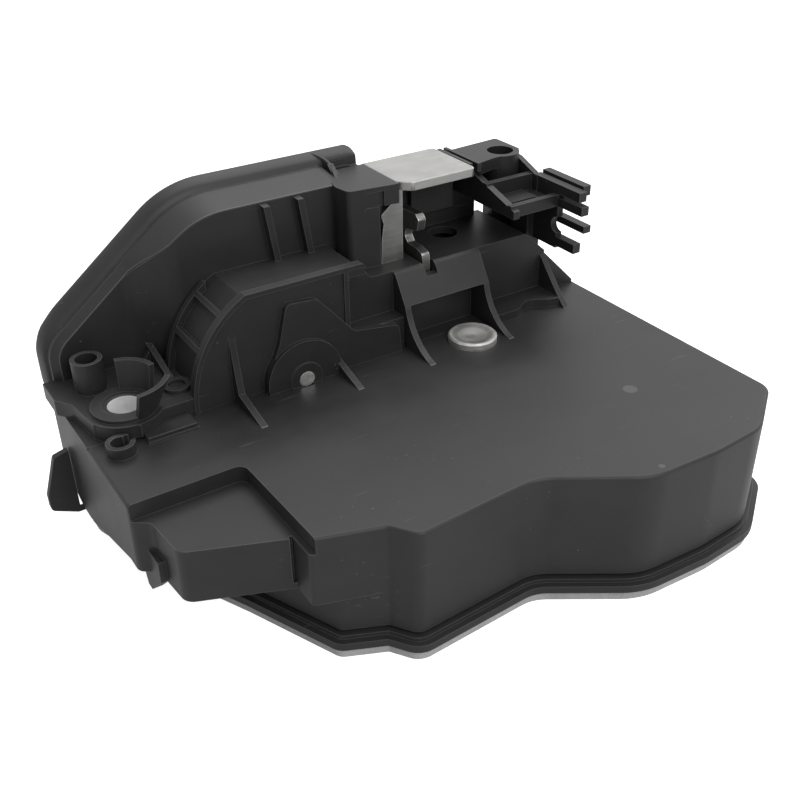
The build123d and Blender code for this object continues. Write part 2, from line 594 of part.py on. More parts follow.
def lever(x, y, z, bore, arms):
    """Stamped lever round a bore; each arm is (length, angle, half width at its end)."""
    hub = bore + 4
    form = post(x, y, hub, z, z + lever_t)
    for length, angle, tip in arms:
        arm = [(0, -hub * 0.8), (length, -tip), (length, tip), (0, hub * 0.8)]
        form += Pos(x, y, 0) * Rot(0, 0, angle) * prism(arm, z, z + lever_t)
        end = Pos(x, y, 0) * Rot(0, 0, angle) * post(length, 0, tip, z, z + lever_t)
        eye = Pos(x, y, 0) * Rot(0, 0, angle) * post(length, 0, tip * 0.5, z - 1, z + lever_t + 1)
        form += end
        form -= eye
    return form - post(x, y, bore, z - 1, z + lever_t + 1)


def gear_outline(teeth, thinning):
    """Involute teeth, four points to a flank."""
    pitch_r = module * teeth / 2
    base_r = pitch_r * cos(radians(20))
    root_r = pitch_r - 1.25 * module
    tip_r = pitch_r + 0.9 * module
    half_pitch = pi / (2 * teeth) - thinning / (2 * pitch_r)
    pitch_roll = sqrt((pitch_r / base_r) ** 2 - 1)
    involute_at_pitch = pitch_roll - atan2(pitch_roll, 1)
    flank = [(root_r, half_pitch * 1.25)]
    for step in range(4):
        r = max(base_r, root_r + 0.1) + (tip_r - max(base_r, root_r + 0.1)) * step / 3
        roll = sqrt(max((r / base_r) ** 2 - 1, 0))
        flank.append((r, half_pitch + involute_at_pitch - (roll - atan2(roll, 1))))
    points = []
    for tooth in range(teeth):
        middle = 2 * pi * tooth / teeth
        for r, half in flank:
            points.append((r * cos(middle - half), r * sin(middle - half)))
        for r, half in reversed(flank):
            points.append((r * cos(middle + half), r * sin(middle + half)))
    return upward(make_face(Polyline(*points, close=True)).face())


def sector_gear():
    """Toothed sector with a counter arm, on the gear pin."""
    y0 = seam_y + wall + part_gap
    y1 = gear_wall_y - part_gap
    tooth_y = y0 + 2.5
    turn = pinion_angle
    face = Rot(0, 0, turn) * gear_outline(gear_teeth, backlash / 2)
    wheel = front_prism(face, tooth_y, tooth_y + gear_width)
    wheel -= rod_y(0, 0, 22.5, tooth_y - 1, tooth_y + 2.5)
    wheel -= rod_y(0, 0, 22.5, tooth_y + gear_width - 2.5, tooth_y + gear_width + 1)
    keep = [(0, 0)]
    tooth = 360 / gear_teeth
    for angle in (turn - 1.5 * tooth, turn + 1.5 * tooth, turn + 4.5 * tooth, turn + 7.5 * tooth):
        keep.append((50 * cos(radians(angle)), 50 * sin(radians(angle))))
    arm = [(0, 0), (50 * cos(radians(165)), 50 * sin(radians(165))), (50 * cos(radians(120)), 50 * sin(radians(120)))]
    wheel &= front_prism(keep, 0, 60) + (front_prism(arm, 0, 60) & rod_y(0, 0, 26, 0, 60))
    wheel += rod_y(0, 0, 7.5, y0, y1)
    wheel -= rod_y(0, 0, pin_r + fit_gap, 0, 60)
    return Pos(gear_x, 0, gear_z) * wheel


def motor_pinion():
    y0 = seam_y + wall + part_gap + 2.0
    face = Rot(0, 0, pinion_angle + 180 + 180 / pinion_teeth) * gear_outline(pinion_teeth, backlash / 2)
    form = front_prism(face, y0, y0 + gear_width + 1)
    return Pos(pinion_x, 0, pinion_z) * (form + rod_y(0, 0, shaft_r, seam_y - motor_len + 1, y0 + gear_width + 1.5))


def motor_can():
    y1 = seam_y + 0.5
    can = rod_y(pinion_x, pinion_z, motor_r, y1 - motor_len, y1)
    can -= block(-far, far, y1 - motor_len - 1, y1 + 1, pinion_z + motor_r - 1.5, far)
    can += rod_y(pinion_x, pinion_z, 3.5, y1, y1 + 1.6)
    return can - rod_y(pinion_x, pinion_z, shaft_r + fit_gap, -10, y1 + 3)


def motor_cap():
    y1 = seam_y + 0.5 - motor_len
    cap = rod_y(pinion_x, pinion_z, motor_r - 0.6, y1 - 3, y1)
    for side in (-1, 1):
        cap -= block(pinion_x + side * 6 - 1.6, pinion_x + side * 6 + 1.6, y1 - 4, y1 + 1,
                     pinion_z - 0.6, pinion_z + 0.6)
    return cap


def motor_contacts():
    y1 = seam_y + 0.5 - motor_len
    blades = []
    for side in (-1, 1):
        x = pinion_x + side * 6
        blades.append(block(x - 1.5, x + 1.5, y1 - 8, y1 - 0.2, pinion_z - 0.5, pinion_z + 0.5))
    return Compound(blades)


def key_hub():
    """Pale cup in the collar, slotted at its bottom, held under the platform by a flange."""
    form = post(hub_x, hub_y, hub_r, platform_z - 13, platform_z + 0.6)
    form += post(hub_x, hub_y, hub_r + 1.8, box_top + part_gap, platform_z - wall - part_gap)
    form -= post(hub_x, hub_y, hub_r - hub_wall, platform_z - cup_depth, far)
    form -= Pos(hub_x, hub_y, platform_z - 11) * Rot(0, 0, 30) * Box(7.6, 1.8, 10)
    return form


def key_lever():
    return lever(hub_x, hub_y, platform_z - 10.4, hub_r + fit_gap, [(18, -40, 2.4)])


def clip_block():
    """Screw block on the mouth's floor: pocketed tray, column at the right, cable clip fingers."""
    inner_x1 = clip_x1 - 1
    ring_r = screw_r + 2
    shelf_z = tray_z + 2
    column = block(clip_x1 - 5.5, clip_x1, mouth_y + 3.5, clip_y1, mouth_floor - 7.6, tray_z + 1)
    column -= post(screw_x, screw_y, screw_r + 1.5, 0, tray_z)
    column -= rear_top_wedge()
    top = [(clip_x0 + 0.6, clip_y1 - 1.4, 1), (clip_x0 + 1.1, mouth_y + 10.7, 1),
           (clip_x1 - 14.4, mouth_y + 12.2), (screw_x + 2, mouth_y + 12.3), (inner_x1, mouth_y + 15.2, 1),
           (inner_x1, clip_y1, 1)]
    form = column + prism(top, clip_top - 4, clip_top)
    bar_y = mouth_y - 9.4
    bar = [(bar_y, shelf_z + 0.6), (bar_y, tray_z), (clip_y1, tray_z), (clip_y1, clip_top - 3),
           (mouth_y + 14, clip_top - 3.6)]
    form += side_prism(bar, clip_x0, clip_x0 + 1.6)
    rail = [(bar_y, shelf_z + 0.6), (bar_y, shelf_z - 2), (mouth_y + 14, clip_top - 6.8),
            (mouth_y + 14, clip_top - 3.6)]
    form += side_prism(rail, clip_x0, clip_x0 + 2.3)
    cheek = [(mouth_y + 2.5, tray_z + 7), (mouth_y + 2.5, tray_z + 1), (clip_y1, tray_z + 1),
             (clip_y1, clip_top - 1), (mouth_y + 13.5, clip_top - 2)]
    form += side_prism(cheek, inner_x1 - 2, inner_x1)
    form += block(clip_x0, inner_x1, mouth_y + 5.3, mouth_y + 7.5, tray_z + 1, tray_z + 7.5)
    form += block(clip_x0, inner_x1, mouth_y - 6.5, clip_y1, tray_z, shelf_z)
    form += block(clip_x0 + 3, inner_x1 - 6, mouth_y - 2, mouth_y + 6, shelf_z - 0.5, shelf_z + 0.6)
    form += block(clip_x0, inner_x1, clip_y1 - 2, clip_y1, tray_z + 1, clip_top - 2)
    form += block(clip_x0, inner_x1, mouth_y - 8, mouth_y - 6, tray_z, shelf_z + 2)
    form += post(screw_x, screw_y, ring_r, tray_z, clip_top)
    form -= post(screw_x, screw_y, screw_r, tray_z - 1, far)
    return form + clip_fingers()


def clip_fingers():
    """Paired prongs that point forward from a web at the block's right end."""
    web_x = clip_x1 - 2.9
    web = block(web_x, web_x + 2.4, mouth_y - 8.5, mouth_y + 5, tray_z - 14.5, tray_z + 7)
    web -= rod_x(mouth_y - 8.5, tray_z - 6.4, 2.8, web_x - 1, web_x + 3)
    form = web + block(web_x, web_x + 6.2, mouth_y + 0.5, mouth_y + 5, tray_z - 11, tray_z + 7)
    prongs = [(0, -18.5, 4.4, 7.6), (3.8, -16, 5, 8.4), (0, -20, 0.2, 3.2), (0, -17.5, -13.6, -10.4),
              (3.6, -17.8, -7.2, -4.8)]
    for side, reach, low, high in prongs:
        x = web_x + side
        form += block(x, x + finger_w, mouth_y + reach, mouth_y + 4.5, tray_z + low, tray_z + high)
    return form


def rear_top_wedge():
    """Body of the rear housing's right end, used to trim what sits on its slope."""
    face = [(floor_end_x, mouth_floor), (foot_right_x + 1, mouth_floor - 8.8),
            (foot_right_x + 1, mouth_floor - 30), (floor_end_x, mouth_floor - 30)]
    return front_prism(face, 0, far)


def mouth_buffer():
    return block(block_right + 15.6, clip_x0 - 1.4, mouth_back - 2.4, mouth_back, mouth_floor + 6,
                 plate_seat - 5.2)


def pin_places():
    return [(socket_x + 4 * column, socket_y + row) for row in (-2.5, 2.5) for column in (-2, -1, 0, 1, 2)]


def connector_pins():
    return Compound([block(x - 0.4, x + 0.4, y - 0.4, y + 0.4, gasket_t + 5, socket_top + socket_wall + 3)
                     for x, y in pin_places()])


def lead_frame():
    """Contact carrier that lies on the socket's roof."""
    z0 = socket_top + socket_wall
    board = prism([(-15, -20, 2), (24, -20, 2), (24, 20, 2), (0, 20, 2), (0, 12), (-26, 12, 2), (-26, -8),
                   (-15, -8)], z0, z0 + 1.6)
    board = Pos(socket_x, socket_y, 0) * board
    for x, y in pin_places():
        board -= block(x - 0.45, x + 0.45, y - 0.45, y + 0.45, z0 - 1, z0 + 3)
    return board


def microswitches():
    z0 = socket_top + socket_wall + 1.6
    cases = []
    for x, y in ((socket_x - 18, socket_y + 5), (socket_x + 12, socket_y + 14)):
        body = block(x - 6.4, x + 6.4, y - 2.9, y + 2.9, z0, z0 + 5.2)
        body += block(x + 1, x + 3.6, y + 2.9, y + 4, z0 + 1.6, z0 + 3.6)
        cases.append(body)
    return Compound(cases)


def cover_screws():
    screws = []
    for x, y in boss_places():
        head = post(x, y, screw_head_r, gasket_t - 2, gasket_t)
        screws.append(head + post(x, y, screw_core_r, gasket_t, floor_z + 14))
    return Compound(screws)


def lock_pin():
    """Shouldered post with a head, so the lever runs between them."""
    seat = lock_z - part_gap
    form = post(lock_x, lock_y, 3, floor_z, seat) + post(lock_x, lock_y, 2, seat, lock_z + lever_t + 2)
    return form + post(lock_x, lock_y, 3.4, lock_z + lever_t + part_gap, lock_z + lever_t + 2)


parts = {
    "front_cover": front_cover,
    "rear_housing": rear_housing,
    "base_tray": base_tray,
    "foam_gasket": foam_gasket,
    "latch_plate": latch_plate,
    "mouth_bracket": mouth_bracket,
    "rotary_catch": rotary_catch,
    "pawl": pawl,
    "catch_pin": lambda: headed_pin_x(catch_y, catch_z, catch_pin_r),
    "pawl_pin": lambda: headed_pin_x(pawl_y, pawl_z, pawl_pin_r),
    "catch_spring": lambda: coil_x(catch_y, catch_z, 6.2, 1.0, catch_x + catch_t + 1.1, 1.5),
    "pawl_spring": lambda: coil_x(pawl_y, pawl_z, 5.3, 0.8, catch_x + catch_t + 0.8, 1.75),
    "mouth_buffer": mouth_buffer,
    "lever_rivet": lever_rivet,
    "release_lever": lambda: lever(rivet_x, rivet_y, lever_top - lever_t, rivet_r + fit_gap,
                                   [(30, 40, 3), (24, 165, 3)]),
    "inside_lever": lambda: lever(rivet_x, rivet_y, lever_top - 2 * lever_t - part_gap, rivet_r + fit_gap,
                                  [(32, -95, 3), (20, 120, 3)]),
    "lock_lever": lambda: lever(lock_x, lock_y, lock_z, 2 + fit_gap, [(15, 195, 2.6), (20, -20, 2.6)]),
    "lock_pin": lock_pin,
    "gear_pin": lambda: rod_y(gear_x, gear_z, pin_r, seam_y - pin_reach, gear_wall_y + wall),
    "sector_gear": sector_gear,
    "motor_pinion": motor_pinion,
    "motor_can": motor_can,
    "motor_cap": motor_cap,
    "motor_contacts": motor_contacts,
    "key_hub": key_hub,
    "key_lever": key_lever,
    "clip_block": clip_block,
    "connector_pins": connector_pins,
    "lead_frame": lead_frame,
    "microswitches": microswitches,
    "cover_screws": cover_screws,
}

os.makedirs("parts", exist_ok=True)
for name, build in parts.items():
    export_step(build(), f"parts/{name}.step")
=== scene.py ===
import math

import bmesh
import bpy
from mathutils import Matrix, Vector


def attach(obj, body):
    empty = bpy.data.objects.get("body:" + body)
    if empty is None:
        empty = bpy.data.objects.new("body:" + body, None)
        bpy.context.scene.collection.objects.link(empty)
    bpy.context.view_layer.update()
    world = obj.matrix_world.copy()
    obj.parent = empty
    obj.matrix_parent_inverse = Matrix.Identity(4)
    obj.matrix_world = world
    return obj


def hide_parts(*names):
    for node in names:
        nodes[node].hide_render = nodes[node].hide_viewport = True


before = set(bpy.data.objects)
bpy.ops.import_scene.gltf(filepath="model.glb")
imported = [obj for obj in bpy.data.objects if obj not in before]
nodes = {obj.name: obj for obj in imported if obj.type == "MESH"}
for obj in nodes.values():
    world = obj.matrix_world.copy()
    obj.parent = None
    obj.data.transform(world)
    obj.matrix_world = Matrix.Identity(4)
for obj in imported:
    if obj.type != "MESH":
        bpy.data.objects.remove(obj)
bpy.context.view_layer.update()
print("frame loaded", len(nodes), "nodes")

mm = 0.001


# Node helpers

def startMaterial(name):
    material = bpy.data.materials.new(name)
    material.use_nodes = True
    tree = material.node_tree
    tree.nodes.clear()
    output = tree.nodes.new("ShaderNodeOutputMaterial")
    shader = tree.nodes.new("ShaderNodeBsdfPrincipled")
    tree.links.new(shader.outputs[0], output.inputs[0])
    return material, tree, shader


def addNode(tree, kind, **values):
    node = tree.nodes.new(kind)
    for key, value in values.items():
        setattr(node, key, value)
    return node


def objectPlace(tree, stretch=(1, 1, 1), turn=(0, 0, 0)):
    coords = addNode(tree, "ShaderNodeTexCoord")
    mapping = addNode(tree, "ShaderNodeMapping")
    mapping.inputs["Scale"].default_value = stretch
    mapping.inputs["Rotation"].default_value = turn
    tree.links.new(coords.outputs["Object"], mapping.inputs["Vector"])
    return mapping.outputs[0]


def noise(tree, place, grain, detail=3, rough=0.5):
    # grain is the size of one blotch in metres
    node = addNode(tree, "ShaderNodeTexNoise")
    node.inputs["Scale"].default_value = 1 / grain
    node.inputs["Detail"].default_value = detail
    node.inputs["Roughness"].default_value = rough
    tree.links.new(place, node.inputs["Vector"])
    return node.outputs[0]


def cells(tree, place, grain):
    node = addNode(tree, "ShaderNodeTexVoronoi")
    node.inputs["Scale"].default_value = 1 / grain
    tree.links.new(place, node.inputs["Vector"])
    return node.outputs["Distance"]


def feed(tree, value, socket):
    if isinstance(value, (int, float)):
        socket.default_value = value
    else:
        tree.links.new(value, socket)


def combine(tree, operation, first, second):
    node = addNode(tree, "ShaderNodeMath", operation=operation)
    feed(tree, first, node.inputs[0])
    feed(tree, second, node.inputs[1])
    return node.outputs[0]


def remap(tree, value, low, high, newLow, newHigh):
    node = addNode(tree, "ShaderNodeMapRange")
    tree.links.new(value, node.inputs["Value"])
    for label, number in (("From Min", low), ("From Max", high), ("To Min", newLow), ("To Max", newHigh)):
        node.inputs[label].default_value = number
    return node.outputs[0]


def tone(tree, value, stops):
    # stops are (place, grey or colour)
    node = addNode(tree, "ShaderNodeValToRGB")
    while len(node.color_ramp.elements) < len(stops):
        node.color_ramp.elements.new(0.5)
    for element, (place, colour) in zip(node.color_ramp.elements, stops):
        element.position = place
        colour = (colour,) * 3 if isinstance(colour, (int, float)) else colour
        element.color = (*colour, 1)
    tree.links.new(value, node.inputs[0])
    return node.outputs[0]


def blendColours(tree, factor, first, second):
    node = addNode(tree, "ShaderNodeMix", data_type="RGBA")
    feed(tree, factor, node.inputs["Factor"])
    for value, socket in ((first, node.inputs["A"]), (second, node.inputs["B"])):
        if isinstance(value, tuple):
            socket.default_value = (*value, 1)
        else:
            tree.links.new(value, socket)
    return node.outputs["Result"]


def bump(tree, height, depth, before=None):
    node = addNode(tree, "ShaderNodeBump")
    node.inputs["Distance"].default_value = depth
    node.inputs["Strength"].default_value = 1.0
    tree.links.new(height, node.inputs["Height"])
    if before is not None:
        tree.links.new(before, node.inputs["Normal"])
    return node.outputs[0]


def wearAndHighlightEdges(tree, width):
    # 1 on edges narrower than the width, 0 on flats; it carries the lighter edge colour: partly wear and
    # partly painted highlight on plastic, painted highlight on steel
    rounded = addNode(tree, "ShaderNodeBevel", samples=6)
    rounded.inputs["Radius"].default_value = width
    flat = addNode(tree, "ShaderNodeNewGeometry")
    dot = addNode(tree, "ShaderNodeVectorMath", operation="DOT_PRODUCT")
    tree.links.new(rounded.outputs[0], dot.inputs[0])
    tree.links.new(flat.outputs["Normal"], dot.inputs[1])
    return remap(tree, dot.outputs["Value"], 0.96, 0.78, 0, 1)


def spot(tree, place, centre, radius, soft):
    # 1 within a round spot seen from above
    gap = addNode(tree, "ShaderNodeVectorMath", operation="SUBTRACT")
    tree.links.new(place, gap.inputs[0])
    gap.inputs[1].default_value = centre
    flat = addNode(tree, "ShaderNodeVectorMath", operation="MULTIPLY")
    tree.links.new(gap.outputs[0], flat.inputs[0])
    flat.inputs[1].default_value = (1, 1, 0)
    length = addNode(tree, "ShaderNodeVectorMath", operation="LENGTH")
    tree.links.new(flat.outputs[0], length.inputs[0])
    return remap(tree, length.outputs["Value"], radius, radius + soft, 1, 0)


# Finishes

def mouldedPlastic(name, look):
    material, tree, shader = startMaterial(name)
    place = objectPlace(tree)
    cloudy = noise(tree, place, look["cloudSize"], 4, 0.6)
    flow = noise(tree, objectPlace(tree, (0.35, 1, 1), (0, 0, 0.5)), look["flowSize"], 5, 0.65)
    mix = combine(tree, "ADD", combine(tree, "MULTIPLY", cloudy, 0.6), combine(tree, "MULTIPLY", flow, 0.4))
    dark, light = look["dark"], look["light"]
    base = tone(tree, mix, [(0.3, dark), (0.7, light)])
    dust = cells(tree, place, look["dustGap"])
    dustMask = remap(tree, dust, 0.05, 0.1, 1, 0)
    patches = remap(tree, noise(tree, place, look["patchSize"], 2), 0.55, 0.7, 0, look["dustAmount"])
    dustMask = combine(tree, "MULTIPLY", dustMask, patches)
    base = blendColours(tree, dustMask, base, look["dustColour"])
    if look["scratches"]:
        thin = noise(tree, objectPlace(tree, (0.06, 1, 1), (0.3, 0.2, 0.9)), look["scratchWidth"], 2, 0.5)
        sparse = remap(tree, noise(tree, place, look["scratchGap"], 2), 0.56, 0.66, 0, look["scratches"])
        lines = combine(tree, "MULTIPLY", remap(tree, thin, 0.66, 0.71, 0, 1), sparse)
        base = blendColours(tree, lines, base, look["dustColour"])
    if look["edgeWearAndHighlight"]:
        # edges painted lighter: partly wear, partly painted highlight
        edge = combine(tree, "MULTIPLY", wearAndHighlightEdges(tree, look["edgeWidth"]), look["edgeWearAndHighlight"])
        base = blendColours(tree, edge, base, look["edgeWearAndHighlightColour"])
    for centre, radius, amount, colour in look["marks"]:
        mark = combine(tree, "MULTIPLY", spot(tree, place, centre, radius, look["markSoft"]), amount)
        base = blendColours(tree, mark, base, colour)
    tree.links.new(base, shader.inputs["Base Color"])
    fine = noise(tree, place, look["grainSize"], 2, 0.6)
    rough = combine(tree, "ADD", remap(tree, mix, 0.3, 0.7, look["glossy"], look["dull"]),
                    remap(tree, fine, 0.3, 0.7, -0.03, 0.03))
    tree.links.new(rough, shader.inputs["Roughness"])
    waves = noise(tree, place, look["waveSize"], 2)
    normal = bump(tree, fine, look["grainDepth"])
    tree.links.new(bump(tree, waves, look["waveDepth"], normal), shader.inputs["Normal"])
    shader.inputs["IOR"].default_value = look["ior"]
    return material


def platedSteel(name, look):
    material, tree, shader = startMaterial(name)
    place = objectPlace(tree)
    blotch = noise(tree, place, look["blotchSize"], 4, 0.6)
    rolled = noise(tree, objectPlace(tree, look["rolling"]), look["lineSize"], 3, 0.6)
    mix = combine(tree, "ADD", combine(tree, "MULTIPLY", blotch, 0.5), combine(tree, "MULTIPLY", rolled, 0.5))
    base = tone(tree, mix, [(0.3, look["dark"]), (0.7, look["light"])])
    if look["paintedEdgeHighlight"]:
        # painted highlight along the steel edges
        base = blendColours(tree, wearAndHighlightEdges(tree, look["edgeWidth"]), base, look["paintedEdgeHighlight"])
    for centre, radius, amount, colour in look["rings"]:
        ring = combine(tree, "MULTIPLY", spot(tree, place, centre, radius, look["ringSoft"]), amount)
        base = blendColours(tree, ring, base, colour)
    tree.links.new(base, shader.inputs["Base Color"])
    tree.links.new(remap(tree, mix, 0.3, 0.7, look["glossy"], look["dull"]), shader.inputs["Roughness"])
    normal = bump(tree, rolled, look["lineDepth"])
    pits = noise(tree, place, look["pitSize"], 2)
    tree.links.new(bump(tree, pits, look["lineDepth"] * look["pitShare"], normal), shader.inputs["Normal"])
    shader.inputs["Metallic"].default_value = 1.0
    return material


def foamSkin(name, look):
    material, tree, shader = startMaterial(name)
    place = objectPlace(tree)
    pores = cells(tree, place, look["poreSize"])
    cloudy = noise(tree, place, look["cloudSize"], 4)
    shade = combine(tree, "ADD", combine(tree, "MULTIPLY", cloudy, 0.7),
                    combine(tree, "MULTIPLY", pores, 0.5))
    base = tone(tree, shade, [(0.3, look["dark"]), (0.75, look["light"])])
    tree.links.new(base, shader.inputs["Base Color"])
    shader.inputs["Roughness"].default_value = look["roughness"]
    normal = bump(tree, pores, look["poreDepth"])
    small = noise(tree, place, look["fineSize"], 2)
    tree.links.new(bump(tree, small, look["fineDepth"], normal), shader.inputs["Normal"])
    return material


casePlasticLook = {
    "dark": 0.014, "light": 0.028, "cloudSize": 38 * mm, "flowSize": 16 * mm,
    "glossy": 0.38, "dull": 0.5, "grainSize": 0.35 * mm, "grainDepth": 0.012 * mm, "waveDepth": 0.06 * mm,
    "dustGap": 2.6 * mm, "dustAmount": 0.9, "dustColour": (0.15, 0.15, 0.15), "scratches": 0.22,
    # the lighter edge colour below is partly wear, partly painted highlight
    "edgeWearAndHighlight": 0.8, "edgeWidth": 0.45 * mm, "edgeWearAndHighlightColour": (0.12, 0.12, 0.12), "marks": [], "markSoft": 0.2 * mm,
    "patchSize": 22 * mm, "scratchWidth": 1.1 * mm, "scratchGap": 13 * mm, "waveSize": 14 * mm, "ior": 1.36,
}
coverMarks = [  # centre, radius, amount, colour
    ((58.2 * mm, -30.4 * mm, 0), 2.1 * mm, 0.8, (0.075, 0.075, 0.075)),
    ((37.6 * mm, -64.0 * mm, 0), 0.8 * mm, 0.6, (0.1, 0.1, 0.1)),
]
coverPlasticLook = {**casePlasticLook, "marks": coverMarks}
basePlasticLook = {**casePlasticLook, "dark": 0.02, "light": 0.03, "glossy": 0.46, "dull": 0.6}
darkPlasticLook = {**casePlasticLook, "dark": 0.012, "light": 0.02, "glossy": 0.36, "dull": 0.5}
hubPlasticLook = {**casePlasticLook, "dark": 0.62, "light": 0.85, "dustColour": (0.1, 0.1, 0.1),
                  "dustGap": 2.2 * mm, "cloudSize": 5 * mm, "flowSize": 3 * mm, "edgeWearAndHighlight": 0, "scratches": 0}
gearPlasticLook = {**casePlasticLook, "dark": 0.55, "light": 0.68, "dustColour": (0.3, 0.28, 0.24),
                   "glossy": 0.3, "dull": 0.42, "cloudSize": 12 * mm, "edgeWearAndHighlight": 0, "scratches": 0}
capPlasticLook = {**casePlasticLook, "dark": 0.03, "light": 0.045, "dustAmount": 0.2}
rubberLook = {**casePlasticLook, "dark": 0.02, "light": 0.03, "glossy": 0.6, "dull": 0.75, "dustAmount": 0.2,
              "scratches": 0}

plateSteelLook = {
    "dark": (0.30, 0.297, 0.288), "light": (0.38, 0.376, 0.365), "blotchSize": 9 * mm,
    "rolling": (0.12, 1, 1), "lineSize": 1.2 * mm, "lineDepth": 0.008 * mm, "glossy": 0.34, "dull": 0.48,
    "pitSize": 0.5 * mm, "pitShare": 0.6, "paintedEdgeHighlight": None, "edgeWidth": 0.5 * mm, "rings": [],
    "ringSoft": 0.5 * mm,
}
# the flange and fork carry a painted highlight along their edges
flangeSteelLook = {**plateSteelLook, "dark": (0.19, 0.19, 0.185), "light": (0.30, 0.30, 0.29),
                   "paintedEdgeHighlight": (0.7, 0.7, 0.68)}
forkSteelLook = {**plateSteelLook, "dark": (0.12, 0.12, 0.117), "light": (0.24, 0.24, 0.235),
                 "blotchSize": 5 * mm, "paintedEdgeHighlight": (0.8, 0.8, 0.78)}
rivetRings = [  # centre, radius, amount, colour: rings on the head, darker at the rim and centre, lighter between
    ((37.75 * mm, 21.25 * mm, 0), 6.3 * mm, 0.55, (0.17, 0.17, 0.165)),
    ((37.75 * mm, 21.25 * mm, 0), 4.6 * mm, 0.6, (0.46, 0.45, 0.44)),
    ((37.2 * mm, 21.6 * mm, 0), 1.6 * mm, 0.4, (0.2, 0.2, 0.195)),
]
# the rivet carries a painted highlight along its edges
rivetSteelLook = {**plateSteelLook, "dark": (0.3, 0.3, 0.295), "light": (0.5, 0.49, 0.48),
                  "blotchSize": 3.0 * mm, "glossy": 0.5, "dull": 0.66, "paintedEdgeHighlight": (0.75, 0.75, 0.73),
                  "rings": rivetRings}
leverSteelLook = {**plateSteelLook, "dark": (0.36, 0.35, 0.32), "light": (0.5, 0.49, 0.46)}
pinSteelLook = {**plateSteelLook, "dark": (0.5, 0.5, 0.49), "light": (0.8, 0.8, 0.78), "rolling": (1, 1, 1),
                "blotchSize": 1.6 * mm}
springSteelLook = {**pinSteelLook, "dark": (0.25, 0.25, 0.25), "light": (0.4, 0.4, 0.4)}
motorSteelLook = {**plateSteelLook, "dark": (0.45, 0.45, 0.45), "light": (0.58, 0.58, 0.58)}
brassLook = {**plateSteelLook, "dark": (0.5, 0.36, 0.13), "light": (0.7, 0.54, 0.24), "blotchSize": 2 * mm}

casePlastic = mouldedPlastic("casePlastic", casePlasticLook)
coverPlastic = mouldedPlastic("coverPlastic", coverPlasticLook)
basePlastic = mouldedPlastic("basePlastic", basePlasticLook)
clipPlastic = mouldedPlastic("clipPlastic", darkPlasticLook)
hubPlastic = mouldedPlastic("hubPlastic", hubPlasticLook)
gearPlastic = mouldedPlastic("gearPlastic", gearPlasticLook)
capPlastic = mouldedPlastic("capPlastic", capPlasticLook)
bufferRubber = mouldedPlastic("bufferRubber", rubberLook)
plateSteel = platedSteel("plateSteel", plateSteelLook)
flangeSteel = platedSteel("flangeSteel", flangeSteelLook)
forkSteel = platedSteel("forkSteel", forkSteelLook)
rivetSteel = platedSteel("rivetSteel", rivetSteelLook)
leverSteel = platedSteel("leverSteel", leverSteelLook)
pinSteel = platedSteel("pinSteel", pinSteelLook)
springSteel = platedSteel("springSteel", springSteelLook)
motorSteel = platedSteel("motorSteel", motorSteelLook)
contactBrass = platedSteel("contactBrass", brassLook)

finishes = {
    "front_cover": coverPlastic, "rear_housing": casePlastic, "base_tray": basePlastic,
    "clip_block": clipPlastic, "latch_plate": plateSteel, "mouth_bracket": flangeSteel,
    "rotary_catch": forkSteel, "pawl": forkSteel, "catch_pin": pinSteel, "pawl_pin": pinSteel,
    "catch_spring": springSteel, "pawl_spring": springSteel, "mouth_buffer": bufferRubber,
    "lever_rivet": rivetSteel, "release_lever": leverSteel, "inside_lever": leverSteel,
    "lock_lever": leverSteel, "lock_pin": pinSteel, "gear_pin": pinSteel, "sector_gear": gearPlastic,
    "motor_pinion": gearPlastic, "motor_can": motorSteel, "motor_cap": capPlastic,
    "motor_contacts": contactBrass, "key_hub": hubPlastic, "key_lever": leverSteel,
    "connector_pins": contactBrass, "lead_frame": capPlastic, "microswitches": capPlastic,
    "cover_screws": pinSteel,
}
edges = {  # edge radius that each moulded or stamped node shows, in metres
    "front_cover": 0.45 * mm, "rear_housing": 0.3 * mm, "base_tray": 0.4 * mm, "clip_block": 0.25 * mm,
    "latch_plate": 0.1 * mm, "mouth_bracket": 0.2 * mm, "rotary_catch": 0.15 * mm, "key_hub": 0.2 * mm,
    "mouth_buffer": 0.4 * mm, "gear_pin": 0.3 * mm,
}


weldGap = 0.002 * mm  # vertices closer than this are one
edgeAngle = math.radians(28)


def softenEdges(piece, width):
    weld = piece.modifiers.new("weld", "WELD")
    weld.merge_threshold = weldGap
    bevel = piece.modifiers.new("edge", "BEVEL")
    bevel.width = width
    bevel.segments = 2
    bevel.limit_method = "ANGLE"
    bevel.angle_limit = edgeAngle
    bevel.use_clamp_overlap = True
    piece.modifiers.new("shade", "WEIGHTED_NORMAL").keep_sharp = False


for name, material in finishes.items():
    for slot in nodes[name].material_slots:
        slot.material = material
for name, width in edges.items():
    softenEdges(nodes[name], width)
print("finishes on", len(finishes), "nodes")

# Foam seal: the cut strip, its edges soft and its skin uneven
foamLook = {
    "dark": 0.36, "light": 0.48, "cloudSize": 9 * mm, "poreSize": 0.5 * mm, "poreDepth": 0.05 * mm,
    "fineSize": 0.3 * mm, "fineDepth": 0.04 * mm, "roughness": 0.95, "edge": 0.6 * mm, "fill": 0.9,
}


def makeFoam():
    source = nodes["foam_gasket"]
    mesh = source.data.copy()
    mesh.name = "foam_seal"
    foam = bpy.data.objects.new("foam_seal", mesh)
    bpy.context.collection.objects.link(foam)
    work = bmesh.new()
    work.from_mesh(mesh)
    bmesh.ops.remove_doubles(work, verts=work.verts, dist=weldGap)
    work.to_mesh(mesh)
    work.free()
    mesh.materials.clear()
    mesh.materials.append(foamSkin("foamSkin", foamLook))
    softenEdges(foam, foamLook["edge"])
    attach(foam, "housing")
    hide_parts("foam_gasket")


makeFoam()
print("foam made")

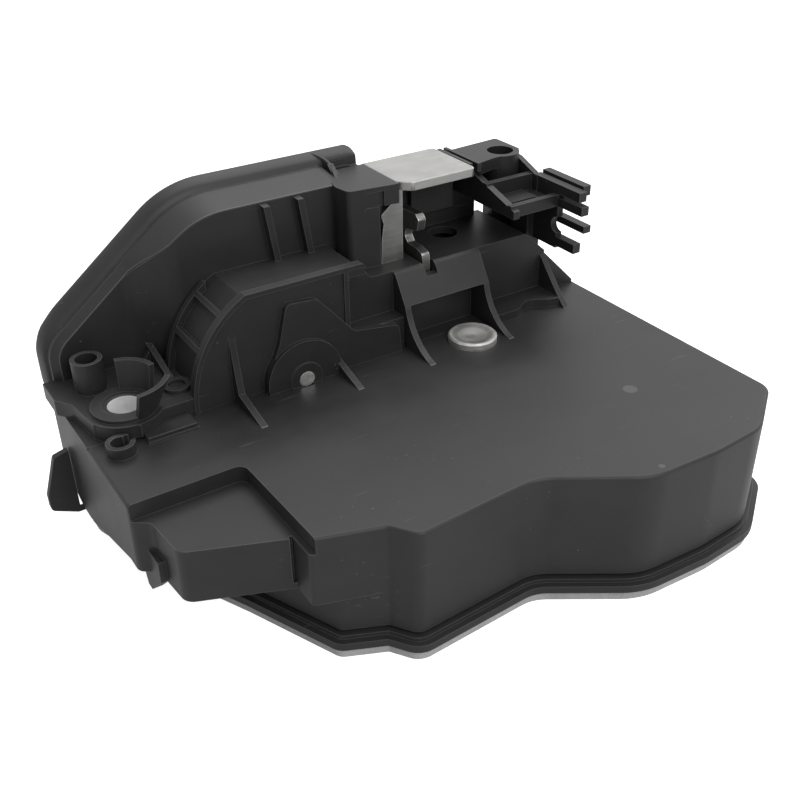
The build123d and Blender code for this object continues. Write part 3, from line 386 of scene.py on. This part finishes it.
# Rim lip: the arch's outer face runs up to a rounded lip in front of the foam
lipLook = {
    # x, z and radius in mm
    "corners": [(-83.55, 30, 0), (-83.55, 55.8, 8), (-40.05, 90.4, 27), (21.6, 90.4, 0)],
    "frontDepth": (60.3, 52.0),  # where the face starts, left and right of the turn
    "frontTurn": (-60.0, -47.0),
    "bladeTurn": (8.0, 10.5),  # right of this the block's flat top meets the lip
    "blockDepth": 62.0,  # where the face starts there
    "height": 5.6, "leftHeight": 4.2, "footHeight": 2.9,
    "leftRise": (54, 62), "footRise": (30, 45), "footTaper": (30, 42),
    "back": 71.0, "footBack": 70.2, "sunk": 0.3,  # the foot ends inside the arch
    "endLength": 1.5, "endDrop": 0.8,  # the right end drops a little
    "step": 1.5, "edge": 0.25, "edgeAngle": 40,
}
bladeLook = {  # x, depth and height above the arch along the blade's upper edge
    "edge": [(8.3, 53.0, 0.2), (9.6, 57.0, 0.7), (10.6, 60.0, 1.7), (10.9, 62.5, 3.0), (10.2, 64.5, 4.2),
             (8.9, 66.5, 5.1), (7.6, 68.5, 5.5)],
    "foot": -0.6, "thickness": 1.2, "soft": 0.2,
}


def roundedPath(corners, step):
    # points with outward normals along the corners, arcs where a radius is given
    spots = []
    last = Vector(corners[0][:2])
    for before, corner, after in zip(corners, corners[1:], corners[2:]):
        middle = Vector(corner[:2])
        inward = (middle - Vector(before[:2])).normalized()
        outward = (Vector(after[:2]) - middle).normalized()
        turn = inward.angle(outward)
        reach = corner[2] * math.tan(turn / 2)
        start, end = middle - inward * reach, middle + outward * reach
        count = max(2, int((start - last).length / step))
        spots += [(last.lerp(start, i / count), Vector((-inward.y, inward.x))) for i in range(count)]
        centre = start + Vector((inward.y, -inward.x)) * corner[2]
        count = max(6, int(corner[2] * turn / step))
        for i in range(count):
            angle = math.atan2(inward.x, -inward.y) - turn * i / count
            normal = Vector((math.cos(angle), math.sin(angle)))
            spots.append((centre + normal * corner[2], normal))
        last = end
    finish = Vector(corners[-1][:2])
    along = (finish - last).normalized()
    count = max(2, int((finish - last).length / step))
    spots += [(last.lerp(finish, i / count), Vector((-along.y, along.x))) for i in range(count + 1)]
    return spots


def smoothStep(value, low, high):
    share = min(1, max(0, (value - low) / (high - low)))
    return share * share * (3 - 2 * share)


def lipSection(front, height, raised):
    # depth and height above the arch, from the front edge over the lip to its back
    foot = lipLook["footHeight"]
    back = lipLook["back"]
    crown = height - foot
    start = [(front, 0.12), (front + 0.5, 0.12 + 0.15 * raised), (62.5, 0.12 + 2.2 * raised),
             (63.8, 0.15 + 2.3 * raised), (64.4, 0.2 + 2.0 * raised), (64.75, 0.5 + 1.9 * raised)]
    return start + [(65.0, 3.0), (65.4, 2.95 + crown * 0.3), (66.3, foot + crown * 0.58),
                    (67.8, foot + crown * 0.86), (69.4, height), (70.3, height - crown * 0.06),
                    (70.8, height - crown * 0.28), (back, height - crown * 0.7), (back, -1.0), (66.0, -1.0)]


def makeLip():
    look = lipLook
    mesh = bpy.data.meshes.new("rim_lip")
    lip = bpy.data.objects.new("rim_lip", mesh)
    bpy.context.collection.objects.link(lip)
    work = bmesh.new()
    rings = []
    end = look["corners"][-1][0]
    for spot, normal in roundedPath(look["corners"], look["step"]):
        depth = look["frontDepth"]
        front = depth[0] + (depth[1] - depth[0]) * smoothStep(spot.x, *look["frontTurn"])
        raised = 1 - smoothStep(spot.x, *look["bladeTurn"])
        front = front * raised + look["blockDepth"] * (1 - raised)
        low, foot = look["leftHeight"], look["footHeight"]
        height = low + (look["height"] - low) * smoothStep(spot.y, *look["leftRise"])
        height = foot + (height - foot) * smoothStep(spot.y, *look["footRise"])
        endDrop = smoothStep(spot.x, end - look["endLength"], end) * look["endDrop"]
        grown = smoothStep(spot.y, *look["footTaper"])  # the lip sinks into the arch at its foot
        ring = []
        for deep, high in lipSection(front, height - endDrop, raised):
            high = high * grown - look["sunk"] * (1 - grown) if high > 0 else high
            deep = min(deep, look["footBack"] + (look["back"] - look["footBack"]) * grown)
            place = spot + normal * high
            ring.append(work.verts.new((place.x * mm, deep * mm, place.y * mm)))
        rings.append(ring)
    for first, second in zip(rings, rings[1:]):
        for i in range(len(first)):
            j = (i + 1) % len(first)
            work.faces.new((first[i], first[j], second[j], second[i]))
    work.faces.new(rings[0])
    work.faces.new(list(reversed(rings[-1])))
    bmesh.ops.recalc_face_normals(work, faces=work.faces)
    for face in work.faces:
        face.smooth = len(face.verts) == 4
    work.to_mesh(mesh)
    work.free()
    mesh.materials.append(casePlastic)
    edge = lip.modifiers.new("edge", "BEVEL")
    edge.width = look["edge"] * mm
    edge.segments = 2
    edge.angle_limit = math.radians(look["edgeAngle"])
    lip.modifiers.new("shade", "WEIGHTED_NORMAL").keep_sharp = False
    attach(lip, "housing")


def makeBlade():
    # thin curved blade where the arch meets the block
    mesh = bpy.data.meshes.new("block_blade")
    blade = bpy.data.objects.new("block_blade", mesh)
    bpy.context.collection.objects.link(blade)
    work = bmesh.new()
    ledge = lipLook["corners"][-1][1]
    columns = []
    for x, deep, high in bladeLook["edge"]:
        top = work.verts.new((x * mm, deep * mm, (ledge + high) * mm))
        foot = work.verts.new((x * mm, deep * mm, (ledge + bladeLook["foot"]) * mm))
        columns.append((foot, top))
    for first, second in zip(columns, columns[1:]):
        work.faces.new((first[0], second[0], second[1], first[1]))
    work.to_mesh(mesh)
    work.free()
    for polygon in mesh.polygons:
        polygon.use_smooth = True
    curve = blade.modifiers.new("curve", "SUBSURF")
    curve.levels = curve.render_levels = 2
    curve.boundary_smooth = "PRESERVE_CORNERS"
    thick = blade.modifiers.new("thick", "SOLIDIFY")
    thick.thickness = bladeLook["thickness"] * mm
    thick.offset = 0
    edge = blade.modifiers.new("edge", "BEVEL")
    edge.width = bladeLook["soft"] * mm
    edge.segments = 2
    mesh.materials.append(casePlastic)
    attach(blade, "housing")


makeLip()
makeBlade()
print("rim lip and blade made")

# Small moulded forms on the case: the step in front of the platform and the collar round the key hub
stepLook = {"low": (-72.6, 22.6, 41.0), "high": (-57.7, 29.6, 42.5), "edge": 0.25}
collarLook = {"centre": (-73.45, 36.75), "inner": 4.9, "outer": 8.2, "foot": 46.1, "top": 46.95,
              "innerSlope": (0.4, 0.25), "outerSlope": (0.8, 0.6), "edge": 0.1, "turns": 64}


def finishMoulding(work, name, edge):
    mesh = bpy.data.meshes.new(name)
    piece = bpy.data.objects.new(name, mesh)
    bpy.context.collection.objects.link(piece)
    bmesh.ops.recalc_face_normals(work, faces=work.faces)
    work.to_mesh(mesh)
    work.free()
    mesh.materials.append(casePlastic)
    bevel = piece.modifiers.new("edge", "BEVEL")
    bevel.width = edge * mm
    bevel.segments = 2
    bevel.angle_limit = math.radians(30)
    piece.modifiers.new("shade", "WEIGHTED_NORMAL").keep_sharp = False
    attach(piece, "housing")


def makeStep():
    low, high = Vector(stepLook["low"]) * mm, Vector(stepLook["high"]) * mm
    work = bmesh.new()
    bmesh.ops.create_cube(work, size=1)
    for vert in work.verts:
        vert.co = (low + high) / 2 + Vector(a * b for a, b in zip(vert.co, high - low))
    finishMoulding(work, "platform_step", stepLook["edge"])


def makeCollar():
    look = collarLook
    work = bmesh.new()
    inner, outer, foot, top = look["inner"], look["outer"], look["foot"], look["top"]
    inWide, inHigh = look["innerSlope"]
    outWide, outHigh = look["outerSlope"]
    section = [(inner, foot), (inner, top - inHigh), (inner + inWide, top), (outer - outWide, top),
               (outer, top - outHigh), (outer, foot)]
    rings = []
    for i in range(look["turns"]):
        angle = math.tau * i / look["turns"]
        x, y = look["centre"]
        rings.append([work.verts.new(((x + r * math.cos(angle)) * mm, (y + r * math.sin(angle)) * mm, z * mm))
                      for r, z in section])
    for i, first in enumerate(rings):
        second = rings[(i + 1) % len(rings)]
        for j in range(len(section)):
            k = (j + 1) % len(section)
            work.faces.new((first[j], first[k], second[k], second[j])).smooth = True
    finishMoulding(work, "hub_collar", look["edge"])


makeStep()
makeCollar()
print("step and collar made")

# Floor, lamps and camera
floorLook = {"size": 6.0, "grey": 0.62, "roughness": 0.9, "glow": 0.88, "mirrored": 0.3}
skyLook = {"onPieces": 0.38, "seen": 1.0}
lampPlaces = [  # name, place, looks at, width, power in watts
    ("topLamp", (0.35, 0.3, 1.1), (0, 0, 0.03), 1.1, 10.0),
    ("keyLamp", (0.05, -0.8, 0.65), (0, 0, 0.05), 0.6, 4.8),
    ("rightLamp", (0.8, 0.1, 0.6), (0, 0, 0.03), 0.5, 1.5),
]


def makeFloor():
    bpy.ops.mesh.primitive_plane_add(size=floorLook["size"])
    floor = bpy.context.object
    floor.name = "floor"
    material, tree, shader = startMaterial("paleFloor")
    output = tree.nodes["Material Output"]
    shader.inputs["Base Color"].default_value = (floorLook["grey"],) * 3 + (1,)
    shader.inputs["Roughness"].default_value = floorLook["roughness"]
    path = addNode(tree, "ShaderNodeLightPath")
    mirrored = combine(tree, "MULTIPLY", path.outputs["Is Glossy Ray"], floorLook["mirrored"])
    seen = combine(tree, "MAXIMUM", path.outputs["Is Camera Ray"],
                   combine(tree, "MAXIMUM", mirrored, path.outputs["Is Transmission Ray"]))
    glow = addNode(tree, "ShaderNodeEmission")
    tree.links.new(combine(tree, "MULTIPLY", seen, floorLook["glow"]), glow.inputs["Strength"])
    total = addNode(tree, "ShaderNodeAddShader")
    tree.links.new(shader.outputs[0], total.inputs[0])
    tree.links.new(glow.outputs[0], total.inputs[1])
    tree.links.new(total.outputs[0], output.inputs[0])
    floor.data.materials.append(material)


def makeWorld():
    world = bpy.data.worlds.new("studio")
    world.use_nodes = True
    bpy.context.scene.world = world
    tree = world.node_tree
    tree.nodes.clear()
    output = tree.nodes.new("ShaderNodeOutputWorld")
    path = addNode(tree, "ShaderNodeLightPath")
    through = combine(tree, "MAXIMUM", path.outputs["Is Glossy Ray"], path.outputs["Is Transmission Ray"])
    seen = combine(tree, "MAXIMUM", path.outputs["Is Camera Ray"], through)
    sky = addNode(tree, "ShaderNodeBackground")
    strength = remap(tree, seen, 0, 1, skyLook["onPieces"], skyLook["seen"])
    tree.links.new(strength, sky.inputs["Strength"])
    tree.links.new(sky.outputs[0], output.inputs[0])
    sky.inputs["Color"].default_value = (1, 1, 1, 1)


def aim(thing, target):
    thing.rotation_euler = (Vector(target) - thing.location).to_track_quat("-Z", "Y").to_euler()


def makeLamps():
    for name, place, target, width, power in lampPlaces:
        light = bpy.data.lights.new(name, "AREA")
        light.energy = power
        light.size = width
        lamp = bpy.data.objects.new(name, light)
        lamp.location = place
        bpy.context.collection.objects.link(lamp)
        aim(lamp, target)


# The camera stands where the photograph was taken from
cameraSpot = Vector((-140.25, -213.75, 201.0)) * mm
cameraRight = Vector((0.83959, -0.54312, -0.01083))
cameraUp = Vector((0.29500, 0.43910, 0.84863))
cameraLens = 46.14


def makeCamera():
    data = bpy.data.cameras.new("camera")
    data.lens = cameraLens
    data.sensor_width = 36
    data.sensor_fit = "HORIZONTAL"
    data.clip_start = 0.01
    camera = bpy.data.objects.new("camera", data)
    right = cameraRight.normalized()
    back = right.cross(cameraUp).normalized()
    up = back.cross(right)
    camera.matrix_world = Matrix.Translation(cameraSpot) @ Matrix((right, up, back)).transposed().to_4x4()
    bpy.context.collection.objects.link(camera)
    bpy.context.scene.camera = camera


makeFloor()
makeWorld()
makeLamps()
makeCamera()
bpy.context.scene.view_settings.view_transform = "Standard"
print("floor, lamps and camera set")
